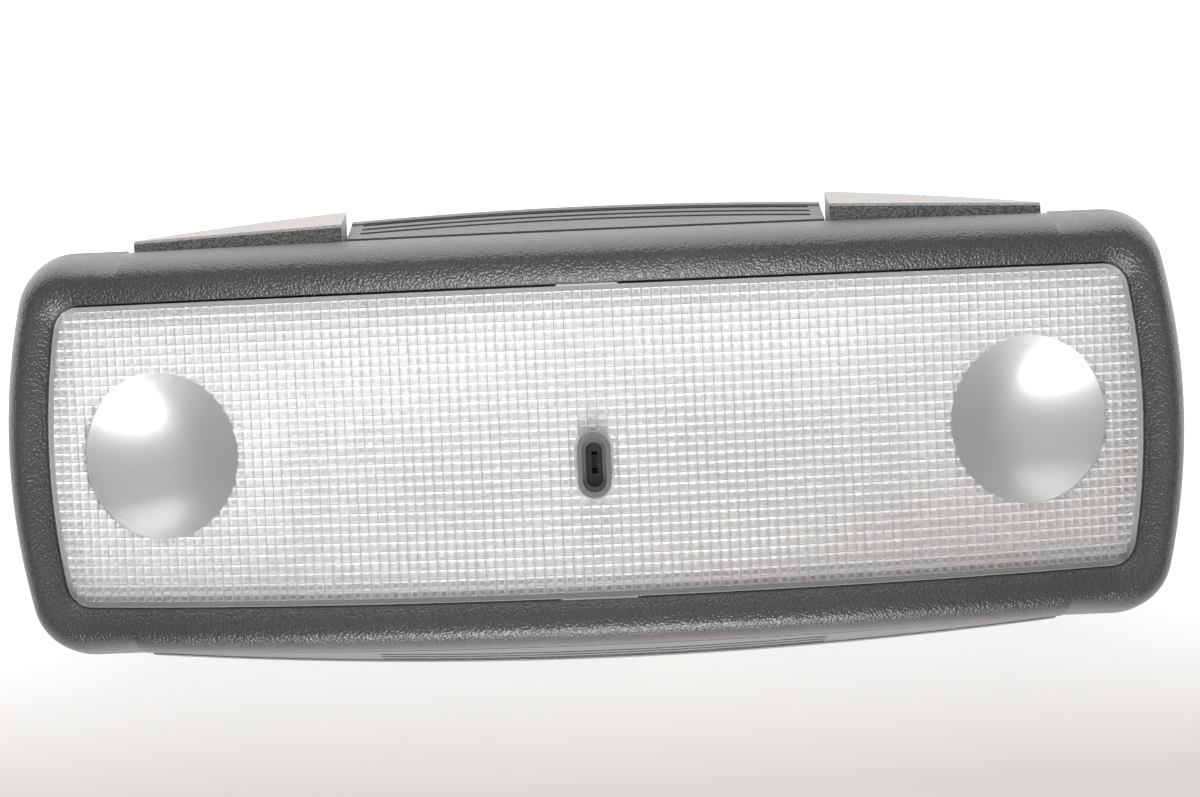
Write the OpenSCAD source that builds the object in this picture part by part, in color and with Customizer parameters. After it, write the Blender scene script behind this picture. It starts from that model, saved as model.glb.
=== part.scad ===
// Overhead car dome light: a bowed prism lens in a rounded bezel, two round reading
// windows, two piano-key buttons on one long side and cooling grilles in the housing.
// The lamp lies on its back. The lens looks up (+Z), the buttons are on the +Y side.

/* [Lens] */
// Length of the lens in plan
lens_len = 231; // [222:1:240]
// Width of the lens
lens_wid = 62.8; // [60:0.2:66]
// Radius of the lens bow along its length
bow_r = 370; // [350:5:420]
// Thickness of the lens skin
lens_t = 2.4; // [1.8:0.1:3]
// Pitch of the prism rows
prism_pitch = 2; // [1.5:0.5:4]
// Height of a prism ridge
prism_h = 0.9; // [0.4:0.1:1.2]
// Plain border round the prisms
lens_border = 3.4; // [3.2:0.1:5]
// Corner radius of the lens
lens_corner_r = 6; // [3:0.5:9]
// Diameter of a smooth reading window
window_d = 35; // [28:0.5:36]
// Distance of a reading window's centre from the lens end
window_in = 24.5; // [22.5:0.5:27]
// Depth of the satin dish behind a reading window
dish_h = 9.5; // [8:0.5:10]
// Length of the lens clip tabs at the middle of both long sides
tab_l = 14; // [10:1:18]

/* [Body] */
// Height of the lens crown above the back plane
crown_h = 48; // [46:0.5:52]
// Height of the lens ends above the headliner rim
end_rise = 8.9; // [8.4:0.1:9.4]
// Wall of the housing tub
wall = 2.2; // [1.6:0.1:2.6]
// Thickness of the housing floor
floor_t = 2.4; // [2:0.1:3.2]
// Thickness of the rim flange
flange_t = 2.4; // [2:0.1:3]
// Lean of the tub's end walls, measured along X at the floor
tub_lean = 12; // [6:1:14]

/* [Bezel] */
// Gap between lens and bezel
lens_gap = 0.5; // [0.3:0.1:1]
// Width of the bezel along the long sides
side_band = 11.6; // [11:0.2:13]
// Width of the bezel at the two ends
end_band = 10.4; // [9.6:0.2:12]
// Height of the cut-outs' ends above the headliner rim
cut_end_h = 2.3; // [1.9:0.1:3]
// Flare of the sides towards the rim, in degrees
flare = 19; // [16:1:22]
// Wall of the bezel
bezel_wall = 2; // [1.6:0.1:2.4]
// Corner radius of the bezel
bezel_corner_r = 13; // [11:0.5:15]
// Bow of both ends, in millimetres at 30 mm from the middle
end_bow = 3.2; // [2:0.2:4]
// Distance of the cut-outs' ends from the lens end
cut_in = 17.9; // [16.5:0.1:19.5]
// Visible gap along the parting line
parting_gap = 0.7; // [0.5:0.1:0.8]

/* [Grilles] */
// Number of slots in each grille
slot_count = 3; // [2:1:3]
// Length of a grille slot
slot_len = 95; // [80:1:96]
// Height of a grille slot
slot_h = 1.2; // [0.8:0.1:1.6]

/* [Buttons] */
// Distance of a button's inner end from the middle
button_in = 51; // [50:0.5:54]
// Gap between a button and the end of its cut-out
key_gap = 0.6; // [0.4:0.1:1]
// How far a button stands out past the bezel edge
button_out_y = 3.2; // [2.4:0.1:3.6]
// Taper of a button in plan, in degrees
button_taper = 1.7; // [1:0.1:2]
// Wall of a button
button_wall = 2; // [1.6:0.1:2.4]
// Diameter of the hinge pins
pin_d = 2; // [1.6:0.1:2.4]
// Full press of a button, in degrees
press = 2.4; // [1.6:0.1:2.6]

/* [Sensor slot] */
// Width of the slot in the lens
slot_w = 7; // [6:0.2:8]
// Length of the slot in the lens
slot_l = 13.6; // [12:0.2:15]
// Distance of the slot from the lens centre line
slot_off = 4.8; // [4:0.2:6]

/* [Lamps] */
// Diameter of a festoon bulb's glass
festoon_d = 10.5; // [9:0.5:12]
// Length of a festoon bulb over its caps
festoon_len = 36; // [31:1:38]
// Distance of a festoon bulb from the middle
festoon_x = 32; // [30:1:34]
// Depth of a reading reflector's bowl
bowl_depth = 17; // [14:0.5:18]
// Diameter of a reading bulb's cap
cap_d = 9; // [8:0.2:10]

/* [Fixing] */
// Spacing of the roof screw holes along X
roof_hole_x = 128; // [126:1:132]
// Spacing of the roof screw holes along Y
roof_hole_y = 44; // [42:1:46]
// Diameter of the roof screw holes
roof_hole_d = 4.5; // [4:0.1:5.5]
// Distance of the retaining clips from the middle
clip_x = 70; // [66:1:74]
// Distance of the bezel screws from the middle along X
screw_x = 38; // [34:1:42]
// Shank diameter of the small screws
screw_d = 2.8; // [2.4:0.1:3]

/* [Connector] */
// Inner width of the connector socket
socket_w = 18; // [16:0.5:22]
// Inner height of the connector socket
socket_h = 8; // [7:0.5:9]
// Depth of the connector socket
socket_depth = 10; // [8:0.5:12]
// Position of the connector along X
socket_x = 22; // [10:1:30]
// Number of connector pins
pin_count = 4; // [2:1:5]

/* [Hidden] */
$fn = 48;
fit = 0.3;
eps = 0.01;
big = 400;

// Half sizes of the nested outlines
lens_hl = lens_len / 2;
lens_hw = lens_wid / 2;
lip_hl = lens_hl + lens_gap;
lip_hw = lens_hw + lens_gap;
out_hl = lip_hl + end_band;
out_hw = lip_hw + side_band;
tub_hl = lens_hl - 2;
tub_hw = lens_hw - 1;
window_x = lens_hl - window_in;
cut_hx = lens_hl - cut_in;
bow_k = end_bow / 900;

// The bow: an arc about an axis along Y, far under the lamp
axis_z = crown_h - bow_r;
function drop(x) = bow_r - sqrt(bow_r * bow_r - x * x);
function surf_z(x) = crown_h - drop(x);
window_a = asin(window_x / bow_r);

// Headliner rim, and the parting line's height above it at the middle
rim_h = surf_z(lens_hl) - end_rise;
flange_top = rim_h + flange_t;
flange_in = bezel_wall + fit + 0.6 * flange_t;
cut_depth = cut_end_h + drop(cut_hx);
shoulder_h = crown_h - rim_h - cut_depth;
slot_z0 = 0.17 * cut_depth;
slot_pitch = 0.182 * cut_depth;

// Hinge, switch and screw places
button_out = cut_hx - key_gap;
button_l = button_out - button_in;
pin_x = button_out - 4;
pin_z = flange_top + 2.6;
arm_w = 3;
ear_w = 1.8;
ear_l = 4.8;
arm_y = tub_hw + ear_w + 2 * fit;
arm_r = 2.1;
switch_x = button_in + 0.24 * button_l;
web_end = button_in + 0.54 * button_l;
key_y = out_hw - bezel_wall + 0.4;
switch_l = 8;
switch_w = 5.6;
switch_h = 6;
plunger_h = 2.6;
foot_z = flange_top + switch_h + plunger_h;
boss_d = 6.4;
screw_y = tub_hw + boss_d / 2 + 1.6;
pad_h = 2;
head_d = 5.6;
head_h = 1.9;
recess_l = 3.2;
recess_w = 0.7;
recess_depth = 0.9;
board_shank = 4.5;
bezel_shank = flange_t + pad_h + 5;

// Retaining clips
clip_w = 12;
clip_t = 0.6;
clip_foot = 4;
clip_out = 4;
clip_bend = rim_h - 6.6;
clip_top = rim_h - 1.6;

// Clip tabs of the lens
tab_out = lens_gap - fit + 0.05;

// Main reflector and board heights
refl_t = 1.4;
refl_z = rim_h + 0.4;
refl_mouth_hl = window_x - 22;
refl_bot_hl = refl_mouth_hl - 11;
refl_bot_hw = 17;
refl_top_hw = tub_hw - wall - fit;
optic_r = bow_r - lens_t - prism_h - fit - 0.4;
wing_r = optic_r - 0.3;
board_z = floor_t + 4;
board_t = 1.6;
board_l = 2 * (refl_bot_hl - 12);
board_w = 34;
board_hole_x = board_l / 2 - 5;
board_hole_y = board_w / 2 - 4;
post_d = 6;
festoon_z = refl_z + refl_t + festoon_d / 2 + 2.2;

// Rubber pads let into the back, on which the lamp rests
rest_l = 12;
rest_t = 0.8;
rest_x = tub_hl - tub_lean - rest_l - 1;
rest_y = tub_hw - rest_l;

// Connector
shell_wall = 1.4;
shell_w = socket_w + 2 * shell_wall;
shell_h = socket_h + 2 * shell_wall;
shell_z = (rim_h - shell_h) / 2;
shell_back = 3;
pin_t = 0.8;
pin_l = 5;
shell_out = socket_depth - wall;

// Reading light, measured along its own axis from the lens face
dish_top = -lens_t - prism_h - 0.8;
dish_t = 1;
dish_r = window_d / 2 - 1.1;
bowl_top = dish_top - dish_t;
bowl_t = 1.3;
bowl_r = window_d / 2 - 0.8;
bowl_hole_r = cap_d / 2 + 1.2;
bowl_bottom = bowl_top - bowl_depth;
boss_top = 2.3 - (surf_z(window_x) - floor_t) / cos(window_a);
bulb_r = cap_d / 2 - 0.8;
bulb_neck = 0.6;

// Sensor sleeve: bore, step under the crown, floor with its small window, and the sensor
sleeve_l = slot_l - 4.4;
sleeve_w = slot_w - 3.6;
sleeve_step = 2;
sleeve_t = 1;
sleeve_floor = crown_h - 7.5 - sleeve_t;
eye_l = 0.5 * sleeve_l;
eye_w = 0.35 * sleeve_w;
led_d = 2.8;
led_gap = 3;

// Stations of the bezel skin and rows of prisms
sec_n = 7;
ring_in = outline(lip_hl, lip_hw, lens_corner_r, 6, 7, 12);
ring_out = outline(out_hl, out_hw, bezel_corner_r, 6, 7, 12);
ridge_rows = floor((lens_wid - 2 * lens_border) / prism_pitch);
ridge_y0 = -ridge_rows * prism_pitch / 2;

// Outline of a plate with bowed ends and round corners, counter-clockwise
function corner_a(hw, r) = atan(2 * bow_k * (hw - r));
function end_y(hw, r) = hw - r + r * sin(corner_a(hw, r));
function end_x(hl, hw, r) = hl - bow_k * pow(end_y(hw, r), 2);
function corner_c(hl, hw, r) = end_x(hl, hw, r) - r * cos(corner_a(hw, r));
function side_xs(c, n) = n == 1 ? [c]
    : concat([c, cut_hx + 0.8], [for (i = [0 : n - 3]) cut_hx * (1 - i / (n - 2))]);
function quarter(hl, hw, r, n_end, n_cor, n_side) = concat(
    [for (i = [0 : n_end - 1]) let (y = end_y(hw, r) * i / n_end) [hl - bow_k * y * y, y]],
    [for (i = [0 : n_cor - 1])
        let (a = corner_a(hw, r) + (90 - corner_a(hw, r)) * i / n_cor)
        [corner_c(hl, hw, r) + r * cos(a), hw - r + r * sin(a)]],
    [for (x = side_xs(corner_c(hl, hw, r), n_side)) [x, hw]]);
function mirror_x(q) = [for (i = [len(q) - 1 : -1 : 1]) [-q[i][0], q[i][1]]];
function turned(q) = [for (p = q) [-p[0], -p[1]]];
function half_loop(q, top) = concat(q, [top], mirror_x(q));
function outline(hl, hw, r, n_end = 4, n_cor = 6, n_side = 1) =
    let (h = half_loop(quarter(hl, hw, r, n_end, n_cor, n_side), [0, hw]))
    concat(h, turned(h));

// Turns a (radius, y) profile about the bow's axis, over half_a degrees each way
module bow_revolve(half_a) {
    translate([0, 0, axis_z]) rotate([-90, 0, 0]) rotate([0, 0, -90 - half_a])
        rotate_extrude(angle = 2 * half_a, $fn = 480) children();
}

// Everything nearer to the bow's axis than radius r
module under_bow(r) {
    translate([0, 0, axis_z]) rotate([90, 0, 0]) cylinder(r = r, h = big, center = true, $fn = 480);
}

// Places children on the bow at angle a, with z = 0 on the lens face
module on_bow(a) {
    translate([0, 0, axis_z]) rotate([0, a, 0]) translate([0, 0, bow_r]) children();
}

// A slot with round ends, along X
module slot2d(l, w) {
    square([l - w, w], center = true);
    for (s = [-1, 1]) translate([s * (l - w) / 2, 0]) circle(d = w, $fn = 24);
}

// A block in the XZ profile, across the whole width
module profile_xz(points) {
    rotate([90, 0, 0]) linear_extrude(height = big, center = true) polygon(points);
}

// A block in the YZ profile, along the whole length
module profile_yz(points) {
    rotate([90, 0, 90]) linear_extrude(height = big, center = true) polygon(points);
}

// Bezel skin: stations round the outline, each a rounded shoulder section
function station_z(p) = surf_z(p[0]);
function edge_z(p) = abs(p[1]) > out_hw - 0.5 && abs(p[0]) < cut_hx + 0.1
    ? surf_z(p[0]) - shoulder_h : rim_h;
function bez(a, b, c, s) = a * (1 - s) * (1 - s) + 2 * b * s * (1 - s) + c * s * s;
function section(pi, po, t) =
    let (w = norm(po - pi), u = (po - pi) / w, zi = station_z(pi), d = zi - edge_z(po))
    let (cx = max(w - tan(flare) * d, w * 0.45) - t)
    [for (k = [0 : sec_n])
        let (s = k / sec_n, x = bez(0, cx, w - t, s), z = zi - t - bez(0, 0.3, d - t, s))
        [pi[0] + u[0] * x, pi[1] + u[1] * x, z]];
function reversed(v) = [for (i = [len(v) - 1 : -1 : 0]) v[i]];

module bezel_skin() {
    n = len(ring_in);
    m = 2 * (sec_n + 1);
    points = [for (i = [0 : n - 1])
        each concat(section(ring_in[i], ring_out[i], 0),
            reversed(section(ring_in[i], ring_out[i], bezel_wall)))];
    faces = [for (i = [0 : n - 1]) for (k = [0 : m - 1])
        let (a = i * m + k, b = i * m + (k + 1) % m, c = (i + 1) % n * m + (k + 1) % m, d = (i + 1) % n * m + k)
        each [[a, d, b], [b, d, c]]];
    polyhedron(points = points, faces = faces, convexity = 6);
}

module bezel() {
    color("#3a3a3c") {
        bezel_skin();
        // Screw bosses under the long sides
        for (sx = [-1, 1]) for (sy = [-1, 1])
            difference() {
                intersection() {
                    translate([sx * screw_x, sy * screw_y, flange_top + pad_h])
                        cylinder(d = boss_d, h = crown_h - flange_top - pad_h);
                    under_bow(bow_r - bezel_wall - 1.3);
                }
                translate([sx * screw_x, sy * screw_y, flange_top])
                    cylinder(d = screw_d + 0.2, h = pad_h + 10);
            }
    }
}

// Tub volume, shrunk by t, with its floor at z
module tub_form(t, z) {
    intersection() {
        translate([0, 0, z]) linear_extrude(height = crown_h)
            polygon(outline(tub_hl - t, tub_hw - t, max(lens_corner_r - 1 - t, 1), 4, 4, 1));
        profile_xz([[tub_lean + t - tub_hl, -1], [tub_hl - tub_lean - t, -1], [tub_hl - t, rim_h],
            [tub_hl - t, crown_h], [t - tub_hl, crown_h], [t - tub_hl, rim_h]]);
        under_bow(bow_r - lens_t - fit);
    }
}

// Flared side band between the parting line and the rim, over x0 to x1
module side_band_form(x0, x1, t) {
    r_top = bow_r - shoulder_h - parting_gap;
    deep = cut_depth + 6;
    intersection() {
        bow_revolve(20)
            polygon([[r_top, out_hw - t], [r_top, out_hw], [r_top - deep, out_hw + tan(flare) * deep],
                [r_top - deep, out_hw + tan(flare) * deep - t]]);
        translate([x0, 0, rim_h]) cube([x1 - x0, big / 2, crown_h]);
    }
}

module grille_slots() {
    for (i = [0 : slot_count - 1])
        translate([0, out_hw, rim_h + slot_z0 + i * slot_pitch]) rotate([90, 0, 0])
            linear_extrude(height = 20, center = true) slot2d(slot_len, slot_h);
}

// Side band with its grille and a closing wall towards the flange
module grille_band(x0, x1) {
    difference() {
        side_band_form(x0, x1, wall);
        grille_slots();
    }
}

// Ears for a button's hinge pin
module hinge_ears() {
    for (y = [arm_y - ear_w - fit, arm_y + arm_w + fit])
        difference() {
            translate([pin_x - ear_l / 2, y, flange_top - eps]) cube([ear_l, ear_w, pin_z - flange_top + 2]);
            translate([pin_x, y - 1, pin_z]) rotate([-90, 0, 0]) cylinder(d = pin_d + 0.1, h = ear_w + 2);
        }
}

module reading_boss(s) {
    intersection() {
        on_bow(s * window_a) translate([0, 0, boss_top - big]) cylinder(d = cap_d + 8, h = big);
        tub_form(wall / 2, floor_t / 2);
    }
}

module housing() {
    color("#2f2f31") {
        difference() {
            union() {
                difference() {
                    tub_form(0, 0);
                    tub_form(wall, floor_t);
                }
                // Rim flange, inside the bezel
                difference() {
                    translate([0, 0, rim_h]) linear_extrude(height = flange_t)
                        polygon(outline(out_hl - flange_in, out_hw - flange_in, bezel_corner_r - flange_in,
                            4, 6, 1));
                    tub_form(wall / 2, 1);
                }
                mirror([0, 1, 0]) {
                    grille_band(-cut_hx + fit, cut_hx - fit);
                    rim_shelf(-cut_hx + fit, cut_hx - fit);
                }
                grille_band(-button_in + 1, button_in - 1);
                rim_shelf(-button_in + 1, button_in - 1);
                for (sx = [-1, 1]) mirror([sx < 0 ? 1 : 0, 0, 0]) hinge_ears();
                for (sx = [-1, 1]) for (sy = [-1, 1])
                    translate([sx * screw_x, sy * screw_y, rim_h]) cylinder(d = boss_d + 1.6, h = flange_t + pad_h);
                for (s = [-1, 1]) reading_boss(s);
                for (sx = [-1, 1]) for (sy = [-1, 1]) {
                    translate([sx * board_hole_x, sy * board_hole_y, floor_t / 2])
                        cylinder(d = post_d, h = board_z - floor_t / 2);
                    translate([sx * roof_hole_x / 2, sy * roof_hole_y / 2, 0])
                        cylinder(d = roof_hole_d + 5, h = floor_t + 2);
                    // Posts that carry the main reflector
                    translate([sx * (refl_bot_hl - 4), sy * (refl_bot_hw - 3), floor_t / 2])
                        cylinder(d = post_d - 1, h = refl_z - floor_t / 2);
                }
            }
            for (sx = [-1, 1]) for (sy = [-1, 1]) {
                translate([sx * screw_x, sy * screw_y, rim_h - 1]) cylinder(d = screw_d + 0.4, h = 12);
                translate([sx * screw_x, sy * screw_y, rim_h - 1]) cylinder(d = head_d + 0.8, h = 1 + head_h + 0.3);
                translate([sx * roof_hole_x / 2, sy * roof_hole_y / 2, -1]) cylinder(d = roof_hole_d, h = 12);
                translate([sx * board_hole_x, sy * board_hole_y, floor_t]) cylinder(d = screw_d - 0.1, h = 8);
            }
            // Pockets for the rest pads
            for (sx = [-1, 1]) for (sy = [-1, 1])
                translate([sx * rest_x, sy * rest_y, rest_t / 2]) cube([rest_l, rest_l, rest_t], center = true);
            // Window for the connector
            translate([socket_x - shell_w / 2 - 0.15, -tub_hw - 1, shell_z - 0.15])
                cube([shell_w + 0.3, wall + shell_back + 1.15, shell_h + 0.3]);
        }
    }
}

// Rim shelf that ties a side band to the flange, over x0 to x1
module rim_shelf(x0, x1) {
    intersection() {
        bow_revolve(20)
            polygon([[bow_r - big / 2, 0], [bow_r, 0], [bow_r, out_hw],
                [bow_r - shoulder_h, out_hw],
                [bow_r - shoulder_h - cut_depth - 8, out_hw + tan(flare) * (cut_depth + 8)],
                [bow_r - big / 2, out_hw + tan(flare) * (cut_depth + 8)]]);
        translate([x0, out_hw - 6, rim_h]) cube([x1 - x0, 20, min(flange_t, 1.8)]);
    }
}

// Prism ridges on the back of the lens, as a (radius, y) profile
module ridge_profile() {
    r = bow_r - lens_t;
    polygon(concat([[r, ridge_y0], [r + lens_t / 2, ridge_y0], [r + lens_t / 2, -ridge_y0], [r, -ridge_y0]],
        [for (i = [ridge_rows - 1 : -1 : 0]) each concat(
            [[r - prism_h, ridge_y0 + (i + 0.5) * prism_pitch]],
            i > 0 ? [[r, ridge_y0 + i * prism_pitch]] : [])]));
}

// Lens plate in the true bow, cut to its plan outline
module lens_plate(inset, corner) {
    linear_extrude(height = crown_h + 10)
        polygon(outline(lens_hl - inset, lens_hw - inset, corner, 4, 5, 1));
}

module lens() {
    color([0.92, 0.93, 0.94, 0.6]) difference() {
        union() {
            intersection() {
                bow_revolve(20) translate([bow_r - lens_t, -lens_hw]) square([lens_t, lens_wid]);
                lens_plate(0, lens_corner_r - lens_gap);
            }
            // Clip tabs
            for (sy = [-1, 1])
                translate([-tab_l / 2, sy * lens_hw - tab_out, crown_h - lens_t]) cube([tab_l, 2 * tab_out, lens_t / 2]);
            difference() {
                intersection() {
                    bow_revolve(20) ridge_profile();
                    lens_plate(lens_border + 1, 2);
                }
                // Smooth reading windows
                for (s = [-1, 1])
                    on_bow(s * window_a) translate([0, 0, -lens_t - 9]) cylinder(d = window_d, h = 9);
            }
        }
        translate([0, -slot_off, crown_h - 12]) linear_extrude(height = 20) rotate(90) slot2d(slot_l, slot_w);
    }
}

// Flared tray between the two reading lights
module tray_form(t, z) {
    intersection() {
        profile_xz([[t - refl_bot_hl, z], [refl_bot_hl - t, z], [refl_mouth_hl - t, crown_h],
            [t - refl_mouth_hl, crown_h]]);
        profile_yz([[t - refl_bot_hw, z], [refl_bot_hw - t, z], [refl_top_hw - t, crown_h - 4],
            [refl_top_hw - t, crown_h], [t - refl_top_hw, crown_h], [t - refl_top_hw, crown_h - 4]]);
        under_bow(optic_r);
    }
}

// Bowed wings from the tray's mouth to the lens ends, open round the reading dishes
module reflector_wings() {
    difference() {
        intersection() {
            bow_revolve(20) translate([wing_r - refl_t, -refl_top_hw]) square([refl_t, 2 * refl_top_hw]);
            tub_form(wall + fit, floor_t);
        }
        tray_form(refl_t / 2, refl_z);
        for (s = [-1, 1])
            on_bow(s * window_a) translate([0, 0, -big / 2]) cylinder(r = bowl_r + bowl_t + 0.4, h = big, $fn = 64);
    }
}

module main_reflector() {
    color("#d9d9d6") {
        difference() {
            tray_form(0, refl_z);
            tray_form(refl_t, refl_z + refl_t);
        }
        reflector_wings();
    }
}

// Bowl of a reading light, in its own axis
module bowl_profile() {
    n = 10;
    pts = [for (i = [0 : n]) let (k = i / n)
        [bowl_hole_r + (bowl_r - bowl_hole_r) * sqrt(k), bowl_top - bowl_depth * (1 - k)]];
    polygon(concat(pts, [[bowl_r + bowl_t, bowl_top]],
        [for (i = [n : -1 : 0]) [pts[i][0] + bowl_t, pts[i][1] - (i == 0 ? 0 : bowl_t * 0.6)]]));
}

module reading_reflector(s) {
    color("#c9cacb") on_bow(s * window_a) rotate_extrude($fn = 64) bowl_profile();
}

// Satin dish with a flange on the bowl: it hides the bulb and spreads its light
module dish_profile() {
    n = 12;
    pts = [for (i = [0 : n]) [dish_r * i / n, dish_top - dish_h * (1 - pow(i / n, 2))]];
    polygon(concat(pts, [[bowl_r + bowl_t, dish_top], [bowl_r + bowl_t, bowl_top]],
        [for (i = [n : -1 : 0]) pts[i] - [0, dish_t]]));
}

module reading_dish(s) {
    color("#d4d5d6") on_bow(s * window_a) rotate_extrude($fn = 64) dish_profile();
}

// Socket and bulb of a reading light
module reading_socket(s) {
    color("#e6e2d8") on_bow(s * window_a) translate([0, 0, boss_top]) difference() {
        cylinder(d = cap_d + 6, h = bowl_bottom - boss_top);
        translate([0, 0, 2]) cylinder(d = cap_d + 0.2, h = 40);
    }
}

module reading_bulb(s) {
    color("#cfd6d8") on_bow(s * window_a) {
        translate([0, 0, boss_top + 2]) cylinder(d = cap_d, h = bowl_bottom - boss_top - 2);
        translate([0, 0, bowl_bottom]) cylinder(r = bulb_r, h = bulb_neck);
        translate([0, 0, bowl_bottom + bulb_neck]) sphere(r = bulb_r);
    }
}

// Festoon bulb lying along X, with a pointed cap at each end
module festoon_bulb(s) {
    cap_l = 6;
    color("#dfe3e4") translate([s * festoon_x, 0, festoon_z]) rotate([0, 90, 0]) rotate_extrude()
        polygon([[0, -festoon_len / 2], [1.2, -festoon_len / 2], [3.6, 1.4 - festoon_len / 2],
            [3.6, cap_l - festoon_len / 2], [festoon_d / 2, cap_l + 2 - festoon_len / 2],
            [festoon_d / 2, festoon_len / 2 - cap_l - 2], [3.6, festoon_len / 2 - cap_l],
            [3.6, festoon_len / 2 - 1.4], [1.2, festoon_len / 2], [0, festoon_len / 2]]);
}

// Sprung contact blades that hold a festoon bulb by its tips
module festoon_contacts(s) {
    t = 0.8;
    foot = 6;
    tip = festoon_len / 2 - 0.4;
    lift = festoon_z - refl_z - refl_t;
    color("#c9a64b") translate([s * festoon_x, 0, refl_z + refl_t]) for (e = [0, 1]) mirror([e, 0, 0])
        difference() {
            union() {
                translate([tip, -4, 0]) cube([t, 8, lift + 3]);
                translate([tip - foot + t, -4, 0]) cube([foot, 8, t]);
            }
            translate([tip - 1, 0, lift]) rotate([0, 90, 0]) cylinder(r = 2.1, h = 3);
        }
}

module circuit_board() {
    color("#2f6a45") difference() {
        translate([-board_l / 2, -board_w / 2, board_z]) cube([board_l, board_w, board_t]);
        for (sx = [-1, 1]) for (sy = [-1, 1])
            translate([sx * board_hole_x, sy * board_hole_y, board_z - 1]) cylinder(d = screw_d + 0.4, h = 4);
    }
}

// Pan-head screw with its head's underside at z = 0, pointing down
module screw(d, shank) {
    translate([0, 0, -shank]) cylinder(d = d, h = shank + eps);
    difference() {
        cylinder(d = head_d, h = head_h);
        for (a = [0, 90])
            rotate(a) translate([-recess_l / 2, -recess_w / 2, head_h - recess_depth])
                cube([recess_l, recess_w, head_h]);
    }
}

module board_screws() {
    color("silver") for (sx = [-1, 1]) for (sy = [-1, 1])
        translate([sx * board_hole_x, sy * board_hole_y, board_z + board_t]) screw(screw_d - 0.4, board_shank);
}

module rest_pads() {
    color("#1c1c1d") for (sx = [-1, 1]) for (sy = [-1, 1])
        translate([sx * rest_x, sy * rest_y, rest_t / 2])
            cube([rest_l - fit, rest_l - fit, rest_t], center = true);
}

module bezel_screws() {
    color("silver") for (sx = [-1, 1]) for (sy = [-1, 1])
        translate([sx * screw_x, sy * screw_y, rim_h + head_h + 0.3]) rotate([180, 0, 0])
            screw(screw_d, bezel_shank);
}

// Connector: a shell in the tub wall, open towards -Y
module connector_shell() {
    color("#e9e6dc") translate([socket_x, -tub_hw, shell_z]) difference() {
        translate([-shell_w / 2, -shell_out, 0]) cube([shell_w, shell_out + wall + shell_back, shell_h]);
        translate([-socket_w / 2, -shell_out - 1, shell_wall]) cube([socket_w, socket_depth + 1, socket_h]);
    }
}

module connector_pins() {
    pitch = socket_w / (pin_count + 1);
    color("#c9a64b") for (i = [1 : pin_count])
        translate([socket_x - socket_w / 2 + i * pitch - pin_t / 2, -tub_hw - shell_out + socket_depth - pin_l,
                shell_z + shell_h / 2 - pin_t / 2])
            cube([pin_t, pin_l, pin_t]);
}

// Push switch on the flange under a button's arm
module switch_body(s) {
    color("#1c1c1e") translate([s * switch_x, arm_y + arm_w / 2, flange_top]) difference() {
        translate([-switch_l / 2, -switch_w / 2, 0]) cube([switch_l, switch_w, switch_h]);
        translate([-1.8, -1.3, switch_h - 3.4]) cube([3.6, 2.6, 4]);
    }
}

module plunger(s) {
    color("#b5452f") translate([s * switch_x - 1.5, arm_y + arm_w / 2 - 1, flange_top + switch_h - 1])
        cube([3, 2, plunger_h + 1]);
}

// Button key: a face that follows the bow and a flared side, shrunk by t
module button_key(t) {
    r_top = bow_r - shoulder_h - parting_gap - t;
    y_face = out_hw + button_out_y - t;
    deep = cut_depth + 8;
    intersection() {
        translate([button_in, out_hw, 0]) rotate([0, 0, -button_taper]) translate([-button_in, -out_hw, 0])
            bow_revolve(20)
                polygon([[r_top, 0], [r_top, y_face - 0.6], [r_top - 0.6, y_face],
                    [r_top - deep, y_face + tan(flare) * deep], [r_top - deep, 0]]);
        translate([button_in + t, key_y, 0]) cube([button_out - button_in - 2 * t, big / 2, crown_h]);
    }
}

// Webs of a button, which pass under the bezel's edge between the key and the arm
module button_webs() {
    r_top = bow_r - shoulder_h - parting_gap;
    intersection() {
        difference() {
            under_bow(r_top);
            under_bow(r_top - button_wall);
        }
        for (x = [[button_in, switch_x - switch_l / 2 - 1.2], [switch_x + switch_l / 2 + 1.6, web_end]])
            translate([x[0], arm_y, rim_h]) cube([x[1] - x[0], key_y + button_wall - arm_y, crown_h]);
    }
}

// Arm of a button: a rib from over the switch to the hinge
module button_arm() {
    x0 = button_in;
    x1 = switch_x + switch_l / 2 + 1.6;
    translate([0, arm_y + arm_w, 0]) rotate([90, 0, 0]) linear_extrude(height = arm_w)
        polygon([[x0, rim_h], [switch_x - switch_l / 2 - 1.2, rim_h], [switch_x - switch_l / 2 - 1.2, foot_z],
            [x1, foot_z], [x1, rim_h], [pin_x, rim_h], [pin_x, pin_z + arm_r], [x1, foot_z + 2.4],
            [x0, foot_z + 2.4]]);
    translate([pin_x, arm_y, pin_z]) rotate([-90, 0, 0]) cylinder(r = arm_r, h = arm_w);
}

// Everything under a button's lowest swing above height z, between y0 and y1
module swing_room(z, y0, y1) {
    translate([pin_x, y0, z]) rotate([0, press, 0]) translate([-big, 0, -big]) cube([2 * big, y1 - y0, big]);
}

module button_right_form() {
    difference() {
        union() {
            difference() {
                button_key(0);
                button_key(button_wall);
            }
            button_webs();
            button_arm();
        }
        translate([pin_x, arm_y - 1, pin_z]) rotate([-90, 0, 0]) cylinder(d = pin_d + 0.2, h = arm_w + 2);
        swing_room(flange_top + fit, 0, key_y);
        swing_room(rim_h + fit, key_y - eps, big / 2);
    }
}

module button_left() {
    color("#4a4a4c") mirror([1, 0, 0]) button_right_form();
}

module button_right() {
    color("#4a4a4c") button_right_form();
}

module hinge_pin(s) {
    color("silver") translate([s * pin_x, arm_y - ear_w - fit, pin_z]) rotate([-90, 0, 0])
        cylinder(d = pin_d, h = arm_w + 2 * (ear_w + fit));
}

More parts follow.
